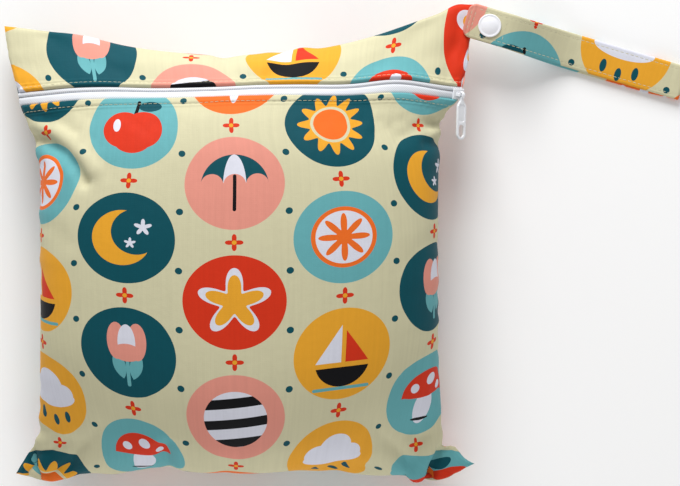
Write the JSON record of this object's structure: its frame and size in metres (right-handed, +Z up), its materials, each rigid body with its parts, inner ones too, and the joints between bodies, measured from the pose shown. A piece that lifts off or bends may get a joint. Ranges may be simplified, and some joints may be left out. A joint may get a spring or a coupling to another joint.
{
  "type": "cloth diaper wet bag",
  "caption": "Stuffed square cloth wet bag with a closed front zip, a pull tab and a folded wrist strap held by a press snap.",
  "frame": {"origin": "middle of the flat patch of the back panel that the bag rests on", "axes": "+X to the bag's right along the zip, +Y to the top seam, +Z up out of the front"},
  "size_m": [0.4129, 0.2882, 0.1046],
  "materials": {
    "printed_cloth": "smooth printed polyester knit with a waterproof film inside",
    "zip_tape": "woven polyester tape",
    "zip_nylon": "moulded white nylon",
    "snap_resin": "glossy white resin"
  },
  "bodies": {
    "bag": {"back_panel": "printed_cloth", "front_lower_panel": "printed_cloth", "front_top_panel": "printed_cloth", "zip_tape_lower": "zip_tape", "zip_tape_upper": "zip_tape", "zip_coil": "zip_nylon", "zip_slider": "zip_nylon", "wrist_strap": "printed_cloth", "snap_cap": "snap_resin", "snap_core": "snap_resin", "snap_back": "snap_resin"},
    "pull": {"zip_pull": "zip_nylon"}
  },
  "joints": [
    {"name": "pull_swing", "type": "hinge", "parent": "bag", "child": "pull", "pos_m": [0.133, 0.10018, 0.03681], "axis": [-0.7221, 0.0009, 0.6918], "range_deg": [-18, 160]}
  ]
}
